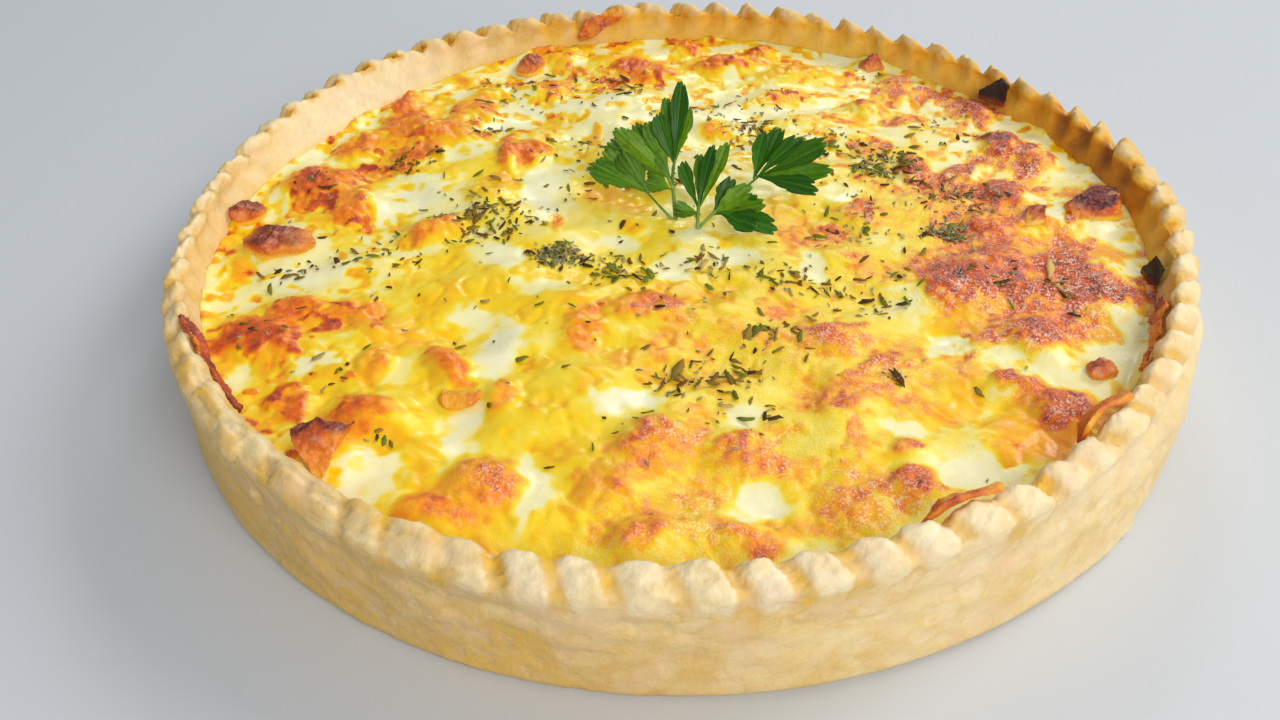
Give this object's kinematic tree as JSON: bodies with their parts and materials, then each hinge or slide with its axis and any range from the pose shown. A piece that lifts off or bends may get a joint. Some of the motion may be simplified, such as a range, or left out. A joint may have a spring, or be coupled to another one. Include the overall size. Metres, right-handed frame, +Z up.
{
  "type": "quiche",
  "caption": "Round baked quiche: crimped shortcrust case, browned egg and cheese filling with dried herbs, ham and melted cheese pieces, and parsley sprigs on top.",
  "frame": {"origin": "middle of the flat underside of the pastry case", "axes": "+Z up out of the underside, +X to the right and +Y away from a viewer at the front, where the front is the side below the parsley's stems"},
  "size_m": [0.2384, 0.2448, 0.0497],
  "materials": {
    "pastry": "matt, dry baked shortcrust",
    "filling": "soft sheen, browned in patches",
    "ham": "greasy sheen",
    "cheese": "crisp, slightly glossy",
    "burnt": "dull, charred",
    "parsley": "fresh leaf, slight sheen"
  },
  "bodies": {
    "root": {"pastry_case": "pastry", "filling": "filling", "ham_front_left": "ham", "ham_left": "ham", "ham_left_small": "ham", "ham_right": "ham", "ham_back_right": "ham", "ham_back_left": "ham", "ham_middle_right": "ham", "ham_right_curl": "ham", "cheese_bar": "cheese", "cheese_curl_right": "cheese", "cheese_curl_front": "cheese", "cheese_edge_left": "cheese", "cheese_edge_right": "cheese", "cheese_edge_back": "cheese", "burnt_flake_back": "burnt", "burnt_flake_right": "burnt", "parsley_left": "parsley", "parsley_right": "parsley"}
  },
  "joints": []
}
